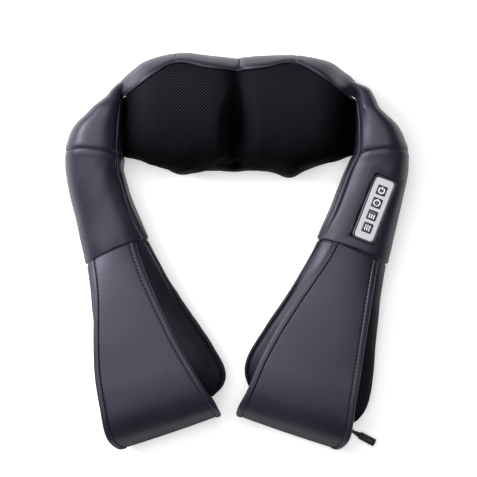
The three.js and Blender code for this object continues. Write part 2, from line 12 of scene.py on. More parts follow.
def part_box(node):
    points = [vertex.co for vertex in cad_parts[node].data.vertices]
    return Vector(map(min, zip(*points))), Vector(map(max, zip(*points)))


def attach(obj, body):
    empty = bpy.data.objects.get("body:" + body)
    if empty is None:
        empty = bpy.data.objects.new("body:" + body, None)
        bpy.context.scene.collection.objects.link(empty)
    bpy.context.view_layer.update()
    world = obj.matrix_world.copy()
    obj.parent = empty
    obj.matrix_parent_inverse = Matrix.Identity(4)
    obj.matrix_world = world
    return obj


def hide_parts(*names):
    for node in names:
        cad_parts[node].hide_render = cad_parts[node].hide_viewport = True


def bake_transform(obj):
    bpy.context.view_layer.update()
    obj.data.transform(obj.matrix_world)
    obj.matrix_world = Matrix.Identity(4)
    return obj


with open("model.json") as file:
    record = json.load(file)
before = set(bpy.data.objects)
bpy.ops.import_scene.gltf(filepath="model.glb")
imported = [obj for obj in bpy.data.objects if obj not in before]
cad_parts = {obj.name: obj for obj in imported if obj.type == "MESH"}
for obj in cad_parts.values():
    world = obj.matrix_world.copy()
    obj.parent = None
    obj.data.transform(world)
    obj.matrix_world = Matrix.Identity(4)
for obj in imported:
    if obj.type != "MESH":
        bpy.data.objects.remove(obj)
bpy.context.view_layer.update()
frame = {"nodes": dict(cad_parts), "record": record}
mm = 0.001

# ---------------------------------------------------------------- camera
# A long lens straight above the massager, with the neck body on the far side.
camera_height = 1750 * mm
arm_height = 40 * mm
picture_width = 548.6 * mm
lens = bpy.data.cameras.new("camera")
lens.sensor_width = 36
lens.lens = lens.sensor_width * (camera_height - arm_height) / picture_width
camera = bpy.data.objects.new("camera", lens)
camera.location = (3.2 * mm, 15.8 * mm, camera_height)
bpy.context.scene.collection.objects.link(camera)
bpy.context.scene.camera = camera

# ---------------------------------------------------------------- floor and light
# A white table top under one wide overhead softbox, with a smaller one beyond the left shoulder.


class Wire:
    """A shader value. Arithmetic on wires adds Math nodes to the material being made."""

    def __init__(self, finish, socket):
        self.finish = finish
        self.socket = socket

    def math(self, operation, *others):
        return self.finish.node("ShaderNodeMath", {"operation": operation}, dict(enumerate((self, *others))))

    def __add__(self, other):
        return self.math("ADD", other)

    __radd__ = __add__

    def __mul__(self, other):
        return self.math("MULTIPLY", other)

    __rmul__ = __mul__

    def __sub__(self, other):
        return self.math("SUBTRACT", other)

    def __rsub__(self, other):
        return self.finish.node("ShaderNodeMath", {"operation": "SUBTRACT"}, {0: other, 1: self})

    def __truediv__(self, other):
        return self.math("DIVIDE", other)


class Finish:
    """A material being made: one method adds any node, and one sets the shader's own sockets."""

    def __init__(self, name, **shader):
        self.material = bpy.data.materials.new(name)
        self.material.use_nodes = True
        self.tree = self.material.node_tree
        self.shader = self.tree.nodes["Principled BSDF"]
        self.set(**shader)

    def node(self, kind, settings=None, values=None, output=0):
        made = self.tree.nodes.new(kind)
        for key, value in (settings or {}).items():
            if key == "stops":
                ramp = made.color_ramp.elements
                for place, level in value[2:]:
                    ramp.new(place)
                for stop, (place, level) in zip(ramp, sorted(value)):
                    stop.position = place
                    stop.color = (level, level, level, 1)
            else:
                setattr(made, key, value)
        for key, value in (values or {}).items():
            self.join(value, made.inputs[key])
        return Wire(self, made.outputs[output])

    def join(self, value, socket):
        if isinstance(value, Wire):
            self.tree.links.new(value.socket, socket)
        else:
            socket.default_value = value

    def set(self, **shader):
        for key, value in shader.items():
            self.join(value, self.shader.inputs[key.replace("_", " ").title().replace("Ior", "IOR")])

    def place(self):
        return self.node("ShaderNodeTexCoord", output="Object")

    def noise(self, scale, detail=2, where=None):
        values = {"Vector": where or self.place(), "Scale": scale, "Detail": detail}
        return self.node("ShaderNodeTexNoise", {}, values, "Fac")

    def cells(self, scale, where=None, feature="DISTANCE_TO_EDGE"):
        values = {"Vector": where or self.place(), "Scale": scale}
        return self.node("ShaderNodeTexVoronoi", {"feature": feature}, values, "Distance")

    def ramp(self, value, *stops):
        return self.node("ShaderNodeValToRGB", {"stops": stops}, {"Fac": value})

    def mix(self, factor, first, second):
        return self.node("ShaderNodeMix", {"data_type": "RGBA"}, {0: factor, 6: first, 7: second}, 2)

    def blend_into(self, share, specular, values):
        """Lets a second, plainer shader show by a share that may vary over the piece."""
        second = self.tree.nodes.new("ShaderNodeBsdfPrincipled")
        for key, value in values.items():
            self.join(value, second.inputs[key.replace("_", " ")])
        second.inputs["Specular IOR Level"].default_value = specular
        both = self.tree.nodes.new("ShaderNodeMixShader")
        self.join(share, both.inputs[0])
        self.tree.links.new(self.shader.outputs[0], both.inputs[1])
        self.tree.links.new(second.outputs[0], both.inputs[2])
        self.tree.links.new(both.outputs[0], self.tree.nodes["Material Output"].inputs["Surface"])

    def bump(self, height, strength, depth):
        values = {"Height": height, "Strength": strength, "Distance": depth}
        self.set(normal=self.node("ShaderNodeBump", {}, values, "Normal"))


def colour(red, green, blue):
    return (red, green, blue, 1)


table_top = Finish("table_top", roughness=0.9)
paleness = table_top.mix(table_top.noise(6), colour(0.93, 0.93, 0.94), colour(0.96, 0.96, 0.965))
table_top.set(base_color=paleness, emission_color=colour(1, 1, 1), emission_strength=0.42)
bpy.ops.mesh.primitive_plane_add(size=8, location=(0, 0, -0.2 * mm))
floor = bpy.context.object
floor.name = "floor"
floor.data.materials.append(table_top.material)


def softbox(name, place, target, size, watts):
    light = bpy.data.lights.new(name, "AREA")
    light.size = size
    light.energy = watts
    lamp = bpy.data.objects.new(name, light)
    lamp.location = place
    lamp.rotation_mode = "QUATERNION"
    lamp.rotation_quaternion = (Vector(target) - Vector(place)).to_track_quat("-Z", "Y")
    bpy.context.scene.collection.objects.link(lamp)


softbox("overhead", (-0.3, 0.25, 2.1), (0, 0, 0), 2.0, 42)
softbox("left_side", (-0.95, 0.45, 0.75), (0, 0, 0), 0.55, 23)
room = bpy.data.worlds.new("room")
room.use_nodes = True
room.node_tree.nodes["Background"].inputs["Color"].default_value = colour(0.93, 0.95, 1.0)
room.node_tree.nodes["Background"].inputs["Strength"].default_value = 0.03
bpy.context.scene.world = room
bpy.context.scene.view_settings.view_transform = "Standard"

# ---------------------------------------------------------------- power lead
# A round rubber lead out of a gland in the right pad's end. It drops inside the hand loop, crosses the loop's
# back and comes out beside it, where the moulded barrel socket lies on the table.


def smooth_path(points, count):
    """Points along a smooth curve that passes through the given ones."""
    p = np.asarray(points, float)
    p = np.vstack([2 * p[0] - p[1], p, 2 * p[-1] - p[-2]])
    at = np.linspace(0, len(p) - 3, count)
    i = np.minimum(at.astype(int), len(p) - 4)
    f = (at - i)[:, None]
    a, b, c, d = p[i], p[i + 1], p[i + 2], p[i + 3]
    return 0.5 * (2 * b + (c - a) * f + (2 * a - 5 * b + 4 * c - d) * f**2 + (3 * b - a - 3 * c + d) * f**3)


def lengths_along(points):
    return np.concatenate([[0], np.cumsum(np.linalg.norm(np.diff(points, axis=0), axis=1))])


def at_lengths(points, lengths):
    """The points at the given lengths along a line of points."""
    measure = lengths_along(points)
    return np.stack([np.interp(lengths, measure, axis) for axis in np.asarray(points).T], axis=1)


def evenly(points, spacing):
    total = lengths_along(points)[-1]
    return at_lengths(points, np.linspace(0, total, max(2, round(total / spacing) + 1)))


def loft(name, rings, finish, closed=True, capped=True):
    """A mesh through rings of equal counts, in millimetres. A ring closes on itself unless closed is off."""
    rings = np.asarray(rings, float)
    rows, count = rings.shape[:2]
    vertices = (rings.reshape(-1, 3) * mm).tolist()
    faces = []
    for i in range(rows - 1):
        for j in range(count if closed else count - 1):
            k = (j + 1) % count
            faces.append((i * count + j, i * count + k, (i + 1) * count + k, (i + 1) * count + j))
    if capped:
        for first in (0, (rows - 1) * count):
            middle = len(vertices)
            vertices.append((rings.reshape(-1, 3)[first : first + count].mean(axis=0) * mm).tolist())
            faces += [(first + j, first + (j + 1) % count, middle) for j in range(count)]
    return piece(name, vertices, faces, finish)


def piece(name, vertices, faces, finish):
    """An object from vertices in metres, smooth-shaded with its faces turned outwards."""
    mesh = bpy.data.meshes.new(name)
    mesh.from_pydata(vertices, [], faces)
    made = bpy.data.objects.new(name, mesh)
    bpy.context.scene.collection.objects.link(made)
    mesh.materials.append(finish.material)
    turn_outwards(made)
    mesh.shade_smooth()
    return made


def turn_outwards(made):
    bpy.context.view_layer.objects.active = made
    made.select_set(True)
    bpy.ops.object.mode_set(mode="EDIT")
    bpy.ops.mesh.select_all(action="SELECT")
    bpy.ops.mesh.normals_make_consistent(inside=False)
    bpy.ops.object.mode_set(mode="OBJECT")
    made.select_set(False)


def frames_along(path):
    """Two directions square to a path at each of its points, with no twist."""
    tangents = np.gradient(path, axis=0)
    tangents /= np.linalg.norm(tangents, axis=1)[:, None]
    side = np.cross(tangents[0], [0.3, 0.2, 1])
    sides = []
    for tangent in tangents:
        side = side - tangent * np.dot(side, tangent)
        side /= np.linalg.norm(side)
        sides.append(side)
    return np.array(sides), np.cross(tangents, sides)


def tube(name, path, radius, finish, sides=10):
    side, up = frames_along(path)
    angles = np.linspace(0, 2 * math.pi, sides, endpoint=False)
    radius = np.broadcast_to(radius, len(path))[:, None, None]
    rings = path[:, None] + radius * (
        np.cos(angles)[None, :, None] * side[:, None] + np.sin(angles)[None, :, None] * up[:, None]
    )
    return loft(name, rings, finish)


def turned(name, profile, start, direction, finish, sides=32):
    """A body turned about an axis: profile holds [radius, distance along direction from start]."""
    way = np.asarray(direction, float) / np.linalg.norm(direction)
    side = np.cross(way, [0, 0, 1] if abs(way[2]) < 0.9 else [1, 0, 0])
    side /= np.linalg.norm(side)
    up = np.cross(way, side)
    angles = np.linspace(0, 2 * math.pi, sides, endpoint=False)
    spokes = np.cos(angles)[:, None] * side + np.sin(angles)[:, None] * up
    rings = [np.asarray(start) + way * along + radius * spokes for radius, along in profile]
    return loft(name, rings, finish)


rubber = Finish("black_rubber", base_color=colour(0.012, 0.012, 0.014), specular_ior_level=0.4)
rubber.set(roughness=rubber.noise(900) * 0.2 + 0.42)
rubber.bump(rubber.noise(2600, 3), 0.25, 0.1 * mm)

lead_radius = 2
lead_points = [
    (68, -178.5, 17), (67.4, -184.5, 16.2), (68.5, -190, 13.8), (73, -194, 11), (80, -196.6, 9),
    (87.5, -198.2, 7.9), (95, -199.4, 7.2), (103, -200.5, 7), (110, -201.6, 7), (117, -202.8, 6.8),
    (124, -204.4, 6.4), (130, -206.6, 5.5), (135.2, -209.4, 5), (140.2, -212.2, 5),
]
lead_path = evenly(smooth_path(lead_points, 300), 1.2)
lead = tube("power_lead_cord", lead_path, lead_radius, rubber, 16)

# Socket: a short boot that narrows onto the lead, a knurled barrel and the bore for a round plug.
socket_way = (0.884, -0.468, 0)
socket_end = 25.5
boot_end = 6
barrel = [[2.1, 0.2], [2.5, 0.5], [2.7, 1.4], [3.1, 5.2], [3.5, 5.5], [4.2, boot_end], [4.5, 6.4]]
for groove in range(5):
    at = 9 + groove * 2
    barrel += [[4.6, at - 0.5], [4.35, at], [4.6, at + 0.5]]
barrel += [[4.6, 20.5], [4.6, socket_end - 0.5], [4.3, socket_end], [3.1, socket_end]]
barrel += [[2.8, socket_end - 0.4], [2.8, 14]]
socket = turned("barrel_socket", barrel, lead_points[-1], socket_way, rubber)
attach(lead, "arm_right")
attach(socket, "arm_right")
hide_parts("power_lead")
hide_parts("power_socket")

gland_way = (-0.6, -6, -0.8)
gland_profile = [[2.4, -7], [6.5, -7], [6.5, -5.6], [6.2, -5.3], [4.4, -5.2], [4.1, -4.6]]
gland_profile += [[3.9 - 0.12 * rib, -4 + rib * 1.1] for rib in range(5)] + [[2.9, 0.6], [2.4, 0.8]]
gland = turned("lead_gland", gland_profile, lead_points[0], gland_way, rubber)
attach(gland, "arm_right")
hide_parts("cord_gland")

# ---------------------------------------------------------------- neck body: leather rim and back
# One padded leather cover wraps the top edge and the back of the neck body. It is sewn from panels, with
# seams across the rim in the middle and beside each dome, and is turned in where the mesh is sewn to it.
# height over which the painted shade low down on the leather and the mesh fades out
fade_height = 34 * mm


def leather_finish(name, deep, worn, painted_shade_below):
    """Soft synthetic leather: fine pebble grain, faint creases, and painted shade low down, where it turns
    into a dark copy without sheen.
    """
    made = Finish(name, specular_ior_level=0.45, specular_tint=colour(0.86, 0.84, 1.0))
    where = made.place()
    pebbles = made.ramp(made.cells(620, where), (0, 0), (0.16, 1))
    pores = made.noise(2400, 3, where)
    creases = made.ramp(made.cells(95, where), (0, 0), (0.06, 1))
    mottle = made.noise(14, 3, where)
    made.set(
        base_color=made.mix(made.ramp(mottle, (0.3, 0), (0.75, 1)), deep, worn),
        roughness=mottle * 0.1 + 0.42 - pebbles * 0.06,
    )
    made.bump(pebbles * 0.75 + pores * 0.25 + creases * 0.3, 0.3, 0.16 * mm)
    height = made.node("ShaderNodeSeparateXYZ", {}, {0: where}, "Z")
    # painted shade: from the given height downwards, over fade_height, the leather fades into a dark copy
    # without sheen, standing in for the shade low down
    painted_shade = dict(Base_Color=colour(0.005, 0.005, 0.008), Roughness=0.85)
    made.blend_into(made.ramp((height - painted_shade_below * mm) / fade_height, (0, 1), (1, 0)), 0.02, painted_shade)
    return made


thread = Finish("thread", base_color=colour(0.002, 0.002, 0.003), specular_ior_level=0.2)
thread.set(roughness=thread.noise(3000) * 0.2 + 0.6)
thread.bump(thread.noise(5200, 2), 0.4, 0.1 * mm)
# the hand loops' painted shade starts higher up, so their folds are painted darker
leather = leather_finish("black_leather", colour(0.011, 0.011, 0.019), colour(0.017, 0.016, 0.028), 17)
loop_leather = leather_finish("loop_leather", colour(0.011, 0.011, 0.019), colour(0.017, 0.016, 0.028), 30)


def smooth_line(points):
    line = smooth_path(points, 400)
    return lambda x: np.interp(x, line[:, 0], line[:, 1])


def smooth_step(value):
    clipped = np.clip(value, 0, 1)
    return clipped * clipped * (3 - 2 * clipped)


def hill(distance, width):
    return np.exp(-((distance / width) ** 2))


neck_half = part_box("neck_cover_leather")[1][0] / mm
head_x = 62
dome_rise = 29
valley_x = 3.5
oval_power = 2.6
top_edge = smooth_line([(0, 223.5), (30, 226), (57, 229), (80, 226.5), (105, 219), (122, 208), (138, 196)])
front_edge = smooth_line([(0, 93), (35, 92.5), (62, 88.5), (80, 94.5), (104, 101.5), (122, 107), (138, 112)])
mesh_seam = smooth_line([(0, 206), (34, 209), (56, 214.5), (73, 213), (91, 202), (113, 187), (138, 173)])


def neck_top(x, y):
    """Height of the neck body's front: two domes, a valley that opens away from the rim, and a low fold."""
    shoulder = 12 * smooth_step((abs(x) - 112) / (neck_half - 112)) * smooth_step((192 - y) / 22)
    beyond = abs(x) - head_x
    dome = dome_rise * np.exp(-((abs(beyond) / (66 if beyond < 0 else 55)) ** 6))
    opening = smooth_step((206 - y) / 62)
    depth = (5 + 17 * opening) * (1 - 0.55 * smooth_step((130 - y) / 18))
    valley = depth * np.maximum(1 - abs(x - valley_x) / (6 + 17 * opening), 0) ** 1.1
    fold = 13 * hill(x + 3, 17) * hill(y - 100, 5) - 2.5 * hill(x + 2 - (y - 118) * 0.5, 8) * hill(y - 121, 5)
    return 62 - shoulder + dome - valley - fold


def neck_edges(x):
    """The rim's top edge and the front edge at x. The right side sits a little nearer the arms."""
    right_shoulder = 3 * hill(x - 119, 12)
    rim_edge = top_edge(abs(x)) - 2.6 * hill(x - 62, 26) + right_shoulder + 2.5 * hill(x - 133, 7)
    rim_edge -= 2.2 * hill(x + 135, 8)
    return rim_edge, front_edge(abs(x)) - 3.2 * hill(x - 66, 20) + 1.8 * hill(x + 114, 18)


def oval(angle, power=oval_power):
    across = np.sign(np.cos(angle)) * np.abs(np.cos(angle)) ** (2 / power)
    up = np.sign(np.sin(angle)) * np.abs(np.sin(angle)) ** (2 / power)
    return across, up


def neck_line(x, start, end, count, inset=0.0):
    """Points round the neck body at x between two angles, closer together at both ends."""
    across, up = oval(np.linspace(start, end, 900))
    high, low = neck_edges(x)
    y = (high + low) / 2 + across * ((high - low) / 2 - inset)
    top = neck_top(x, y) - inset
    widest = 0.42 * np.mean(top)
    z = np.where(up > 0, widest + up * (top - widest), widest + up * (widest + 3 - inset))
    line = np.stack([np.full_like(y, x), y, np.maximum(z, inset)], axis=1)
    share = np.linspace(0, 1, count)
    share = 0.3 * share + 0.7 * (0.5 - 0.5 * np.cos(math.pi * share))
    return at_lengths(line, share * lengths_along(line)[-1])


def seam_angle(x):
    """The angle round the neck body's section where the mesh panel is sewn to the rim."""
    high, low = neck_edges(x)
    across = np.clip((mesh_seam(abs(x)) - (high + low) / 2) / ((high - low) / 2), -1, 1)
    return math.acos(abs(across) ** (oval_power / 2)) if across > 0 else math.pi / 2


def normals_of(grid, closed):
    """Directions out of a grid of points, away from each row's middle."""
    along = np.gradient(grid, axis=0)
    across = (np.roll(grid, -1, 1) - np.roll(grid, 1, 1)) if closed else np.gradient(grid, axis=1)
    normals = np.cross(across, along)
    normals /= np.maximum(np.linalg.norm(normals, axis=2), 1e-9)[..., None]
    return normals


rim_middle = 215
rim_seams = ((-68, -0.1), (valley_x, 0), (68, 0.1))  # where each seam crosses the rim's middle, and its slant
hem_angle = math.pi * 1.06  # where mesh and back leather meet, just under the front edge
stations = np.linspace(-neck_half - 0.6, neck_half + 0.6, 121)
beside = np.array([-3.2, -2.2, -1.5, -0.9, -0.4, 0, 0.4, 0.9, 1.5, 2.2, 3.2])
stations = np.unique(np.concatenate([stations] + [seam + beside for seam, slant in rim_seams]).round(2))
stations = stations[np.concatenate([[True], np.diff(stations) > 0.3])]


def edge_distances(grid):
    """How far each point of a grid lies from its row's first point, and from its last."""
    steps = np.linalg.norm(np.diff(grid, axis=1), axis=2)
    from_first = np.concatenate([np.zeros((len(grid), 1)), np.cumsum(steps, axis=1)], axis=1)
    return from_first, from_first[:, -1:] - from_first


def wrinkles(grid, size, seed):
    """Smooth repeatable noise at each point of a grid, between about -1 and 1."""
    flat = grid.reshape(-1, 3) / size
    levels = [noise.noise(Vector(p) + Vector((seed, seed, seed))) for p in flat]
    return np.array(levels).reshape(grid.shape[:2])


def solidify(made, thickness):
    """Gives an open cover its thickness, inwards."""
    wall = made.modifiers.new("wall", "SOLIDIFY")
    wall.thickness = thickness * mm
    wall.offset = -1
    bpy.context.view_layer.objects.active = made
    bpy.ops.object.modifier_apply(modifier=wall.name)


grid = np.array([neck_line(x, seam_angle(x), hem_angle - 2 * math.pi, 110) for x in stations])
out = -normals_of(grid, False)
from_seam, from_hem = edge_distances(grid)
lift = 0.5 * hill(from_seam - 6, 5) - 2.4 * hill(from_seam, 1.3) - 2 * hill(from_hem, 1.6)
for seam, slant in rim_seams:
    off = np.abs(grid[..., 0] - seam - slant * (grid[..., 1] - rim_middle))
    lift += (0.3 * hill(off - 5, 3) - 0.75 * hill(off, 0.8)) * smooth_step(grid[..., 2] / 14)
lift += 0.35 * wrinkles(grid, 26, 3) * smooth_step(from_seam / 8)
lift *= grid[..., 2] > 0.5
rim = loft("neck_leather", grid + out * lift[..., None], leather, closed=False, capped=False)
solidify(rim, 2.4)
seam_threads = []
for number, (seam, slant) in enumerate(rim_seams):
    row = []
    for j in range(4, 80):
        x = seam + slant * (grid[60, j, 1] - rim_middle)
        i = int(np.argmin(np.abs(stations - x)))
        row.append(grid[i, j] * [0, 1, 1] + [x, 0, 0] - 0.35 * out[i, j])
    seam_threads.append(tube(f"rim_seam_{number + 1}", evenly(np.array(row), 2), 0.5, thread, 6))
for made in seam_threads:
    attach(made, "root")
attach(rim, "root")
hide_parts("neck_cover_leather")

# ---------------------------------------------------------------- neck body: mesh panel
# Stretch air mesh over the kneading heads, with small diamond holes. It is sewn to the rim above and to the
# back leather under the front edge, and it dips between the two heads. A welt follows its top seam.
weave = 3.8  # distance between the rows of holes
mesh_shade_below = 56 * mm
mesh_shade_front = 95 * mm
air_mesh = Finish("air_mesh", specular_ior_level=0.03)
cloth_place = air_mesh.node("ShaderNodeUVMap", {"uv_map": "cloth"})
across_cloth = air_mesh.node("ShaderNodeSeparateXYZ", {}, {0: cloth_place}, "X")
down_cloth = air_mesh.node("ShaderNodeSeparateXYZ", {}, {0: cloth_place}, "Y")
thread_a = (across_cloth + down_cloth).math("PINGPONG", 0.5) * 2
thread_b = (across_cloth - down_cloth).math("PINGPONG", 0.5) * 2
strand = air_mesh.ramp(thread_a.math("MINIMUM", thread_b), (0.1, 1), (0.34, 0))
twist = air_mesh.noise(1900, 2)
mesh_place = air_mesh.place()
mesh_height = air_mesh.node("ShaderNodeSeparateXYZ", {}, {0: mesh_place}, "Z")
mesh_depth = air_mesh.node("ShaderNodeSeparateXYZ", {}, {0: mesh_place}, "Y")
# painted shade: the strands are painted darker lower down and towards the front edge, standing in for shade
# there
painted_light_level = air_mesh.ramp((mesh_height - mesh_shade_below) / fade_height, (0, 0), (1, 1))
painted_light_level = painted_light_level * air_mesh.ramp((mesh_depth - mesh_shade_front) / mesh_shade_front, (0, 0.2), (1, 1))
air_mesh.set(
    base_color=air_mesh.mix(strand * painted_light_level, colour(0.0002, 0.0002, 0.0004), colour(0.031, 0.032, 0.043)),
    roughness=0.86 - strand * 0.3,
)
air_mesh.bump(strand * 0.8 + twist * 0.2, 0.9, 0.5 * mm)

grid = np.array([neck_line(x, seam_angle(x), hem_angle, 110) for x in stations])
out = normals_of(grid, False)
from_seam, from_hem = edge_distances(grid)
lift = -2.6 * hill(from_seam, 1.6) - 2 * hill(from_hem, 1.6) - 0.6
pulled = smooth_step(from_seam / 12) * smooth_step(from_hem / 8)
corner_folds = wrinkles(grid @ np.array([[1, 0.5, 0], [-0.9, 0.3, 0], [0, 0, 1]]), 15, 12)
lift += pulled * (0.5 * wrinkles(grid, 20, 7) + 1.5 * corner_folds * smooth_step((142 - grid[..., 1]) / 30))
panel_grid = grid + out * lift[..., None]
mesh_panel = loft("mesh_panel", panel_grid, air_mesh, closed=False, capped=False)
cloth = mesh_panel.data.uv_layers.new(name="cloth")
steps = np.linalg.norm(np.diff(panel_grid[:, 40:60], axis=0)[..., [0, 2]], axis=2).mean(axis=1)
cloth_x = np.concatenate([[0], np.cumsum(steps)])
cloth_y = edge_distances(panel_grid)[1]
cloth_y -= [[np.interp(-150, -row[:, 1], along)] for row, along in zip(panel_grid, cloth_y)]
cloth_points = np.stack([np.broadcast_to(cloth_x[:, None], cloth_y.shape), cloth_y], axis=2)
cloth_uv = cloth_points.reshape(-1, 2) / weave
corners = np.zeros(len(mesh_panel.data.loops), np.int32)
mesh_panel.data.loops.foreach_get("vertex_index", corners)
cloth.data.foreach_set("uv", cloth_uv[corners].astype(np.float32).ravel())
solidify(mesh_panel, 1.6)
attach(mesh_panel, "root")
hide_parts("neck_cover_mesh")

seam_line = []
for x in np.linspace(-134, 134, 180):
    angle = seam_angle(x)
    seam_line.append(neck_line(x, angle, angle + 0.2, 3)[0] - [0, 0, 1.0])
rim_welt = tube("rim_welt", evenly(np.array(seam_line), 2), 1.1, leather)
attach(rim_welt, "root")

# ---------------------------------------------------------------- arms
# Each arm is a stuffed leather tube sewn to the neck body's end. It narrows to the shoulder seam, widens
# into a flat pad under the hand loop, and has a welt of rolled leather down its inner edge.
foam = Finish("grey_foam", roughness=0.95)
bubbles = foam.ramp(foam.cells(700), (0, 0), (0.3, 1))
foam.set(base_color=foam.mix(bubbles, colour(0.04, 0.04, 0.045), colour(0.13, 0.13, 0.14)))
foam.bump(bubbles, 0.8, 0.6 * mm)
arm_rows = [
    [(113, 195), (119, 205), 14, 42],
    [(125, 190), (131.5, 198.5), 8, 52],
    [(133.5, 185), (141, 193.2), 3, 60],
    [(136.8, 180), (148.5, 187.4), -1, 66.5],
    [(136.8, 173), (157.5, 177), -3, 72],
    [(136.8, 166), (166, 166.8), -3, 75.5],
    [(136.8, 158), (173, 158), -3, 77],
    [(136.8, 144), (186.5, 144), -3, 78],
    [(136.8, 128), (194, 128), -3, 78],
    [(136.8, 112), (197.5, 112), -3, 76],
    [(127, 90), (197, 88), -3, 72],
    [(112, 50), (190, 54), -3, 67],
    [(99, 18), (179, 6), -2, 61],
    [(85, -12), (171, -30), 1, 56],
    [(64, -48), (166, -72), 3.2, 50],
    [(38, -86), (162, -112), 3.2, 46],
    [(17, -120), (160, -144), 3.2, 43],
    [(11.5, -140), (157, -166), 4, 40],
    [(16.5, -157), (151, -184), 7, 35],
    [(32, -170), (139, -198), 12, 27],
    [(48, -176.5), (127, -198.5), 16, 21],
]
panel_turn = math.radians(69)
panel_centre = np.array([157, 49])
panel_length, panel_width = 77, 27
shoulder_seam = smooth_line([(118, 110), (138, 112), (150, 115), (168, 117.5), (184, 117), (198, 115)])
flap_points = [(92, 14.5), (103, 13.8), (117, 10), (130, 5.5), (144, 0), (158, -6.5), (173, -14), (182, -18)]
flap_seam = smooth_line(flap_points)
welt_radius = 1.5


def arm_lines():
    """Rows of [inner x, inner y, outer x, outer y, underside, top] down the arm, closer at its seams."""
    rows = smooth_path([[*inner, *outer, low, high] for inner, outer, low, high in arm_rows], 1500)
    middle = np.stack([(rows[:, 0] + rows[:, 2]) / 2, (rows[:, 1] + rows[:, 3]) / 2], axis=1)
    measure = lengths_along(middle)
    places = []
    at = 0
    while at < measure[-1]:
        places.append(at)
        y = np.interp(at, measure, middle[:, 1])
        near_seam = min(abs(y - 116), max(0, abs(y) - 17))
        at += 0.7 + 1.4 * min(1, near_seam / 7)
    places.append(measure[-1])
    return np.stack([np.interp(places, measure, column) for column in rows.T], axis=1)


def arm_point(rows, across, up):
    """Points on each row's oval: across from -1 at the inner edge to 1 at the outer, up from -1 to 1."""
    x = (rows[:, 0] + rows[:, 2]) / 2 + across * (rows[:, 2] - rows[:, 0]) / 2
    y = (rows[:, 1] + rows[:, 3]) / 2 + across * (rows[:, 3] - rows[:, 1]) / 2
    z = (rows[:, 4] + rows[:, 5]) / 2 + up * (rows[:, 5] - rows[:, 4]) / 2
    return np.stack([x, y, np.maximum(z, 0)], axis=-1)


def on_panel(x, y):
    """Distances along and across the control panel."""
    dx, dy = x - panel_centre[0], y - panel_centre[1]
    c, s = math.cos(panel_turn), math.sin(panel_turn)
    return dx * c + dy * s, dy * c - dx * s


def even_oval(power, count=120):
    """Evenly spaced points round an oval that is 1 wide and 1 high."""
    outline = np.stack(oval(np.linspace(0, 2 * math.pi, 4000), power), axis=1)
    return at_lengths(outline, np.linspace(0, lengths_along(outline)[-1], count + 1))[:-1]


rows = arm_lines()
flatness = smooth_step((rows[:, 1] + 70) / 60)[:, None]
arm_grid = np.stack(
    [
        arm_point(rows, *(full * flatness + round_one * (1 - flatness)).T)
        for full, round_one in zip(even_oval(2.5), even_oval(1.9))
    ],
    axis=1,
)
arm_out = normals_of(arm_grid, True)
arm_out *= np.sign(np.sum(arm_out * (arm_grid - arm_grid.mean(axis=1, keepdims=True)), axis=2).mean())
welt_up = 0.3 + 0.36 * smooth_step((rows[:, 1] + 20) / 70)
welt_across = -((1 - welt_up**2.5) ** (1 / 2.5))
welt_line = arm_point(rows, welt_across, welt_up)


def stuffed(points, side):
    """The right arm and shoulder are stuffed a little fuller, and the left arm laps further over the mesh."""
    x, y = points[..., 0], points[..., 1]
    inner = np.interp(-y, -rows[:, 1], rows[:, 0])
    outer = np.interp(-y, -rows[:, 1], rows[:, 2])
    down_arm = smooth_step((104 - y) / 50) * smooth_step((y + 150) / 40)
    near_inner = smooth_step(1 - (x - inner) / 60) * down_arm
    near_outer = smooth_step(1 - (outer - x) / 60) * smooth_step((150 - y) / 40) * smooth_step((y + 20) / 60)
    corner = hill(y - 190, 15) * smooth_step((x - 110) / 20)
    if side > 0:
        swell = (2.6 * hill(y - 184, 9) - 2.4 * hill(y - 165, 6)) * smooth_step((x - 136) / 15)
        shift = -3 * near_inner + 1.2 * near_outer + swell
        shift -= 3.2 * hill(y - 98, 24) * smooth_step(1 - (x - inner) / 50)
    else:
        over_mesh = smooth_step(1 - (x - inner) / 45) * smooth_step((y - 92) / 18)
        over_mesh *= smooth_step((196 - y) / 26)
        shift = 4 * near_inner - 1.6 * near_outer - 2.8 * corner - 7 * over_mesh
        shift -= 2.8 * hill(y + 8, 20) * smooth_step(1 - (outer - x) / 40)
    return points + np.stack([shift, corner * shift * 0.8, shift * 0], axis=-1)


